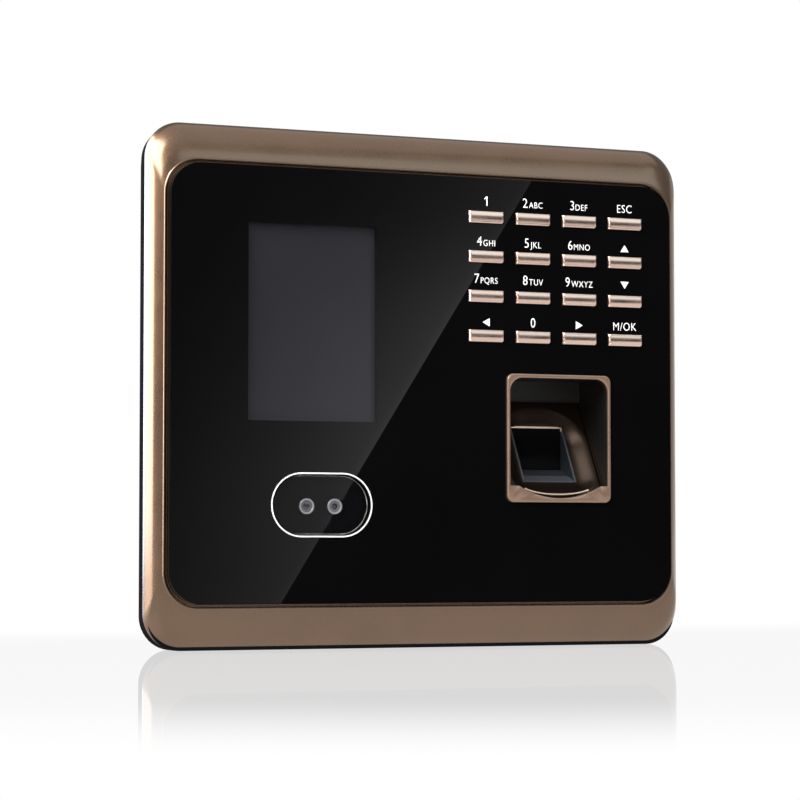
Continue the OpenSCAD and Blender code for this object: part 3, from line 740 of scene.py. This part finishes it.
def cradle():
    """The hollow that guides a finger, with a hole where the sensor looks through."""
    marks = (WELL_HALF, GROOVE[0], GROOVE[0] + 0.01, GROOVE[1] - 0.01, GROOVE[1], CRADLE_HALF)
    xs = stops([BAY_X - m for m in reversed(marks)] + [BAY_X + m for m in marks], 0.42)
    zs = stops([CRADLE_Z[0], *WELL_Z, CRADLE_Z[1]], 0.42)
    bm = bmesh.new()
    front = [[bm.verts.new(mm(x, bed_depth(x, z), z)) for x in xs] for z in zs]
    back = [[bm.verts.new(mm(x, CRADLE_Y[1], z)) for x in xs] for z in zs]
    tiles = []
    for i in range(len(zs) - 1):
        for k in range(len(xs) - 1):
            x, z = (xs[k] + xs[k + 1]) / 2, (zs[i] + zs[i + 1]) / 2
            if abs(x - BAY_X) < WELL_HALF and WELL_Z[0] < z < WELL_Z[1]:
                continue
            spots = ((i, k), (i, k + 1), (i + 1, k + 1), (i + 1, k))
            tiles.append(bm.faces.new([front[a][b] for a, b in spots]))
            bm.faces.new([back[a][b] for a, b in spots])
    partner = {front[i][k]: back[i][k] for i in range(len(zs)) for k in range(len(xs))}
    for edge in {e for tile in tiles for e in tile.edges if len(e.link_faces) == 1}:
        a, b = edge.verts
        bm.faces.new((a, b, partner[b], partner[a]))
    bmesh.ops.delete(bm, geom=[v for v in bm.verts if not v.link_faces], context="VERTS")
    return build("cradle_shaped", bm, finishes["cradle_bronze"], "finger_cradle", sharp=40)


def side_solid(name, profile, x0, x1, look, node):
    """A solid with that outline in depth and height, between two places across."""
    bm = bmesh.new()
    add_loft(bm, [[mm(x, y, z) for y, z in profile] for x in (x0, x1)])
    piece = build(name, bm, look, node)
    bevel = piece.modifiers.new("edges", "BEVEL")
    bevel.width = 0.06 * MM
    bevel.segments = 2
    return piece


def bed_line(z):
    return BED_Y + (z - BED_Z) * math.tan(LEAN)


def sensor_well():
    """A leaning pane in front of a black upright back, between dark cheeks."""
    left, right = BAY_X - WELL_HALF + 0.02, BAY_X + WELL_HALF - 0.02
    foot, head = WELL_Z[0] + 0.05, WELL_Z[1] - 0.05
    cheek = 0.55
    knee = (-4.6, 50.1)
    heel = (WELL_BACK, 52.0)
    rise = [(bed_line(foot), foot), (bed_line(head), head)]
    profile = rise + [(WELL_BACK + 1.6, head), (WELL_BACK + 1.6, foot)]
    for name, x0, x1 in (("sensor_cheek_left", left, left + cheek),
                         ("sensor_cheek_right", right - cheek, right)):
        side_solid(name, profile, x0, x1, finishes["charcoal_plastic"], "sensor_housing")
    inner = (left + cheek + 0.01, right - cheek - 0.01)
    # The sill's lighter grey is painted light on the housing's front edge
    side_solid("sensor_sill", [rise[0], knee, (knee[0], foot)], *inner, finishes["well_grey"],
               "sensor_housing")
    side_solid("sensor_floor", [(knee[0] + 0.02, foot), (knee[0] + 0.02, knee[1]), heel,
                                (heel[0], foot)], *inner, finishes["charcoal_plastic"],
               "sensor_housing")
    side_solid("sensor_back", [(WELL_BACK + 0.02, foot), (WELL_BACK + 0.02, head),
                               (WELL_BACK + 1.2, head), (WELL_BACK + 1.2, foot)], *inner,
               finishes["well_black"], "sensor_housing")
    sheet = 0.15
    low, high = foot + 0.4, 61.9
    side_solid("sensor_pane", [(bed_line(low) + 0.1, low), (bed_line(high) + 0.1, high),
                               (bed_line(high) + 0.1 + sheet, high),
                               (bed_line(low) + 0.1 + sheet, low)], *inner,
               finishes["sensor_pane"], "sensor_prism")


def sensor_trim():
    """A rose bar along the sensor's head, with its right end turned down."""
    high = WELL_Z[1] + 0.25
    y0, y1 = bed_line(high) - 0.75, bed_line(high) + 0.5
    for name, x, half_w, low in (("sensor_trim_bar", BAY_X, WELL_HALF - 0.35, high - 0.6),
                                 ("sensor_trim_end", BAY_X + WELL_HALF - 0.5, 0.2, high - 1.5)):
        bm = bmesh.new()
        rings = []
        for inset, y in ((0.18, y0), (0.05, y0 + 0.06), (0.0, y0 + 0.2), (0.0, y1)):
            rings.append(outline((half_w - inset * 0.9) * MM, (low + inset) * MM,
                                 (high - inset) * MM, 0.1 * MM, y * MM, x * MM, 4))
        add_loft(bm, rings)
        build(name, bm, finishes["trim_rose"], "sensor_trim")


# A painted highlight along the cradle's foot: a light rose tube where the dark cradle's front edge
# catches light, as (across, up)
LIP_HIGHLIGHT_POINTS = [(30.9, 46.0), (33.6, 45.2), (37.3, 44.6), (41.3, 44.4), (45.3, 44.55),
            (48.9, 45.05), (51.6, 45.75)]


def painted_lip_highlight():
    # Painted highlight: the tube takes the light rose trim colour, far lighter than the cradle it
    # lies on
    line = [p for p in spline([mm(x, -13.55, z) for x, z in LIP_HIGHLIGHT_POINTS], 6)]
    bm = bmesh.new()
    rings = []
    for i, point in enumerate(line):
        end = min(i, len(line) - 1 - i)
        radius = (0.34 if end < 2 else 0.26) * MM
        ahead = (line[min(i + 1, len(line) - 1)] - line[max(i - 1, 0)]).normalized()
        up = Vector((0, 1, 0)).cross(ahead)
        rings.append([point + radius * (math.cos(a) * up + math.sin(a) * Vector((0, 1, 0)))
                      for a in (math.tau * k / 12 for k in range(12))])
    add_loft(bm, rings)
    return build("cradle_lip_highlight", bm, finishes["trim_rose"], "finger_cradle")


BAY_OPENING = {"left": -16.1, "right": 15.75, "sill": 46.9, "top": 78.4, "round": 4.0,
               "scoop": 13.3, "dip": 3.6}


def opening(grow, y):
    """The frame's opening: round top corners, and a scoop in the sill for the finger."""
    o = BAY_OPENING
    r = o["round"]
    points = [(o["right"] + grow, o["sill"] - grow)]
    for x, start in ((o["right"] - r, 0), (o["left"] + r, 90)):
        for i in range(13):
            a = math.radians(start + 90 * i / 12)
            points.append((x + (r + grow) * math.cos(a), o["top"] - r + (r + grow) * math.sin(a)))
    points.append((o["left"] - grow, o["sill"] - grow))
    arc = (o["scoop"] ** 2 + o["dip"] ** 2) / (2 * o["dip"])
    for i in range(25):
        x = o["scoop"] * (i / 12 - 1)
        points.append((x, o["sill"] - o["dip"] + arc - math.sqrt(arc * arc - x * x) - grow))
    return [mm(BAY_X + x, 0, z) + Vector((0, y, 0)) for x, z in points]


def bay_frame():
    """The bay's frame: painted with rounded edges in front, black where it enters the panel."""
    low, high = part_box("finger_bay_frame")
    split = GLASS_Y - 0.25 * MM
    rounded = ((0.34, 0.0), (0.20, 0.05), (0.08, 0.15), (0.02, 0.30), (0.0, 0.50))
    for name, look, steps in (
        ("bay_frame_face", "frame_paint", [(i, low.y + d * MM) for i, d in rounded] + [(0, split)]),
        ("bay_frame_sleeve", "bay_black", [(0, split + 0.01 * MM), (0, high.y)]),
    ):
        bm = bmesh.new()
        add_loft(bm, [outline((high.x - low.x) / 2 - (0.2 + i) * MM, low.z + i * MM,
                              high.z - i * MM, (2 - i) * MM, y, (BAY_X - 0.2) * MM)
                      for i, y in steps], caps=False)
        add_loft(bm, [opening(i * 0.6, y) for i, y in steps], caps=False)
        for depth in (steps[0][1], steps[-1][1]):
            rim = [e for e in bm.edges if len(e.link_faces) == 1
                   and all(abs(v.co.y - depth) < 1e-7 for v in e.verts)]
            bmesh.ops.triangle_fill(bm, use_beauty=True, edges=rim)
        build(name, bm, finishes[look], "finger_bay_frame")


# ---------- Stage ----------

CAMERA_AT = Vector((-0.3124, -0.7421, 0.0293))
CAMERA_TURN = (math.radians(90 + 3.04), 0.0, -math.radians(22.63))
LENS = 123.66
SENSOR = 36.0


def add_camera():
    data = bpy.data.cameras.new("camera")
    data.lens = LENS
    data.sensor_width = SENSOR
    data.clip_start = 0.01
    camera = bpy.data.objects.new("camera", data)
    camera.location = CAMERA_AT
    camera.rotation_euler = CAMERA_TURN
    bpy.context.scene.collection.objects.link(camera)
    bpy.context.scene.camera = camera


def stage_mesh(name, corners, made, seen=True):
    mesh = bpy.data.meshes.new(name)
    mesh.from_pydata([tuple(c) for c in corners], [], [tuple(range(len(corners)))])
    mesh.materials.append(made)
    thing = bpy.data.objects.new(name, mesh)
    bpy.context.scene.collection.objects.link(thing)
    thing.visible_camera = seen
    return thing


FLOOR_LIGHT = 0.95
FLOOR_GLOSS = 0.43
FLOOR_NEAR = 0.27
FLOOR_FAR = 0.43


def floor_material():
    """White all over, with a reflection that fades out a little way from the object."""
    g = Graph("floor")
    parts = g.node("ShaderNodeSeparateXYZ")
    g.link(g.place, parts.inputs[0])
    flat = g.node("ShaderNodeCombineXYZ")
    g.link(parts.outputs[0], flat.inputs[0])
    g.link(parts.outputs[1], flat.inputs[1])
    reach = g.node("ShaderNodeVectorMath", operation="LENGTH")
    g.link(flat.outputs[0], reach.inputs[0])
    fade = g.spread(reach.outputs["Value"], FLOOR_NEAR, FLOOR_FAR, FLOOR_GLOSS, 0.0)
    fade = g.math("MULTIPLY", fade, g.spread(parts.outputs[1], 0.05, 0.2, 1.0, 0.0))
    grazing = g.node("ShaderNodeFresnel")
    grazing.inputs["IOR"].default_value = 1.35
    fade = g.math("MULTIPLY", fade, grazing.outputs[0])
    glow = g.node("ShaderNodeEmission")
    seen = g.node("ShaderNodeLightPath").outputs["Is Camera Ray"]
    g.link(g.math("ADD", g.math("MULTIPLY", seen, 1 - FLOOR_LIGHT), FLOOR_LIGHT),
           glow.inputs["Strength"])
    glow.inputs["Color"].default_value = (1, 1, 1, 1)
    gloss = g.node("ShaderNodeBsdfGlossy")
    gloss.inputs["Roughness"].default_value = 0.012
    blend = g.node("ShaderNodeMixShader")
    g.link(fade, blend.inputs[0])
    g.link(glow.outputs[0], blend.inputs[1])
    g.link(gloss.outputs[0], blend.inputs[2])
    g.link(blend.outputs[0], g.output.inputs["Surface"])
    g.tree.nodes.remove(g.shader)
    return g.material


def add_floor():
    size = 6.0
    corners = [(-size, -size, 0), (size, -size, 0), (size, size, 0), (-size, size, 0)]
    stage_mesh("floor", corners, floor_material())


def add_backdrop():
    """A white wall far behind, which the floor reflects around the object."""
    g = Graph("backdrop")
    glow = g.node("ShaderNodeEmission")
    g.link(glow.outputs[0], g.output.inputs["Surface"])
    g.tree.nodes.remove(g.shader)
    corners = [(-3, 1.5, 0), (3, 1.5, 0), (3, 1.5, 0.5), (-3, 1.5, 0.5)]
    stage_mesh("backdrop", corners, g.material)


def add_world():
    """White behind everything the camera sees, and dim for what surfaces reflect."""
    world = bpy.data.worlds.new("studio")
    world.use_nodes = True
    tree = world.node_tree
    seen = tree.nodes.new("ShaderNodeLightPath")
    level = tree.nodes.new("ShaderNodeMapRange")
    level.inputs["To Min"].default_value = 0.26
    level.inputs["To Max"].default_value = 1.0
    tree.links.new(seen.outputs["Is Camera Ray"], level.inputs["Value"])
    tree.links.new(level.outputs["Result"], tree.nodes["Background"].inputs["Strength"])
    tree.nodes["Background"].inputs["Color"].default_value = (1, 1, 1, 1)
    bpy.context.scene.world = world


AIM = Vector((0, 0, 0.075))


LIGHT_AWAY = 0.9
EDGE_TINT = (0.55, 0.76, 1.0)


def softbox(name, direction, distance, width, height, radiance, glossy=True, tint=(1, 1, 1)):
    """An area light that faces the object from that direction."""
    data = bpy.data.lights.new(name, "AREA")
    data.shape = "RECTANGLE"
    data.size = width
    data.size_y = height
    data.energy = radiance * math.pi * width * height
    data.color = tint
    light = bpy.data.objects.new(name, data)
    toward = Vector(direction).normalized()
    light.location = AIM + toward * distance
    light.rotation_euler = toward.to_track_quat("Z", "Y").to_euler()
    light.visible_camera = False
    light.visible_glossy = glossy
    bpy.context.scene.collection.objects.link(light)


# The card in front, seen only in the glass: its bright edge runs from the first point of
# the panel to the second, in fractions of the panel's width and height
EDGE_TOP = (0.709, 1.0)
EDGE_FOOT = (0.209, 0.0)
CARD_Y = -0.50
CARD_GLOW = 0.62
CARD_FADE = 0.60


def mirrored(x_share, z_share):
    """Where the camera sees that point of the panel reflect on the card."""
    point = Vector((PANEL_LOW.x + (PANEL_HIGH.x - PANEL_LOW.x) * x_share, GLASS_Y,
                    PANEL_LOW.z + (PANEL_HIGH.z - PANEL_LOW.z) * z_share))
    eye = Vector((CAMERA_AT.x, 2 * GLASS_Y - CAMERA_AT.y, CAMERA_AT.z))
    ray = point - eye
    return eye + ray * ((CARD_Y - eye.y) / ray.y)


def card_material(edge, across):
    """Glows on one side of its edge, less and less further from it."""
    g = Graph("card")
    offset = g.node("ShaderNodeVectorMath", operation="SUBTRACT")
    g.link(g.place, offset.inputs[0])
    offset.inputs[1].default_value = edge
    dot = g.node("ShaderNodeVectorMath", operation="DOT_PRODUCT")
    g.link(offset.outputs[0], dot.inputs[0])
    dot.inputs[1].default_value = across
    span = (mirrored(1, 0) - mirrored(0, 0)).length
    away = g.math("DIVIDE", dot.outputs["Value"], span * CARD_FADE)
    lit = g.math("GREATER_THAN", away, 0.0)
    fall = g.math("POWER", g.math("SUBTRACT", 1.0, away, clamp=True), 3.0)
    height = g.node("ShaderNodeSeparateXYZ")
    g.link(g.place, height.inputs[0])
    foot, head = mirrored(0, 0).z, mirrored(0, 1).z
    low = g.spread(height.outputs[2], foot, foot + (head - foot) * 0.4, 0.55, 1.0)
    high = g.spread(height.outputs[2], head, head - (head - foot) * 0.4, 0.45, 1.0)
    rim = g.spread(away, 0.0, 0.03, 1.2, 1.0)
    strength = g.math("MULTIPLY", fall, g.math("MULTIPLY", g.math("MULTIPLY", low, high), rim))
    strength = g.math("MULTIPLY", strength, CARD_GLOW)
    glow = g.node("ShaderNodeEmission")
    g.link(g.math("MULTIPLY", strength, lit), glow.inputs["Strength"])
    g.link(glow.outputs[0], g.output.inputs["Surface"])
    g.tree.nodes.remove(g.shader)
    return g.material


def add_card():
    top, foot = mirrored(*EDGE_TOP), mirrored(*EDGE_FOOT)
    along = (top - foot).normalized()
    across = Vector((0, 1, 0)).cross(along)
    if across.dot(mirrored(0, 1) - top) < 0:
        across = -across
    spare = 0.06
    corners = [mirrored(-spare, -spare), mirrored(1 + spare, -spare),
               mirrored(1 + spare, 1 + spare), mirrored(-spare, 1 + spare)]
    stage_mesh("card", corners, card_material(top, across), seen=False)


def add_lights():
    softbox("top_light", (0.15, -0.25, 1.0), 1.1, 1.5, 1.0, 0.66)
    softbox("front_high_light", (0.385, -0.74, 0.55), 1.1, 0.9, 0.42, 1.25,
            tint=(0.76, 0.93, 1.0))
    softbox("left_light", (-0.93, 0.20, 0.34), LIGHT_AWAY, 0.64, 1.15, 9.0)
    softbox("left_back_light", (-0.62, 0.76, 0.2), LIGHT_AWAY, 0.55, 0.9, 8.0, tint=EDGE_TINT)
    softbox("corner_light", (-0.66, -0.42, 0.60), LIGHT_AWAY, 0.70, 0.50, 11.0)
    softbox("right_light", (0.98, 0.12, 0.15), LIGHT_AWAY, 0.5, 0.5, 0.5)
    softbox("print_light", (-0.1, -0.95, 0.25), 1.0, 0.6, 0.6, 7.5, glossy=False)


# ---------- Assembly ----------

ink = print_white()

bezel_rim()
bezel_floor()
refine("front_panel", 0.12 * MM)
camera_ring()
camera_mask()
for key in KEY_NODES:
    key_cap(key)
for key in SIGNS:
    legend(key)

grey_ring = finish("lens_ring_grey", (0.30, 0.30, 0.31), 0.35, 0.6, vary=0.06, grain=0.1 * MM)
dark_ring = finish("lens_ring_dark", (0.10, 0.10, 0.105), 0.35, 0.4, vary=0.08, grain=0.1 * MM)
camera_lens("camera_lens_left", [(1.72, 2.25, 0.0, grey_ring), (1.0, 1.74, 0.45, dark_ring)],
            1.35, 0.25)
camera_lens("camera_lens_right", [(1.68, 2.2, 0.0, grey_ring), (0.85, 1.7, 0.12, dark_ring)],
            0.9, 0.3)

bay_frame()
cradle()
sensor_well()
sensor_trim()
painted_lip_highlight()
for node, edge in (
    ("bay_housing", 0.15),
    ("rear_housing", 0.25), ("wall_plate", 0.15), ("lock_screw", 0.15),
    ("housing_screws", 0.12), ("network_socket", 0.12), ("power_socket", 0.12),
    ("terminal_block", 0.12), ("usb_socket", 0.08), ("reset_button", 0.12),
    ("tamper_plunger", 0.15),
):
    refine(node, edge * MM)

for name, thing in frame["nodes"].items():
    if not thing.hide_render:
        thing.data.materials.clear()
        thing.data.materials.append(finishes[SLOT_OF[name]])

add_camera()
add_floor()
add_backdrop()
add_world()
add_card()
add_lights()
bpy.context.scene.view_settings.view_transform = "Standard"
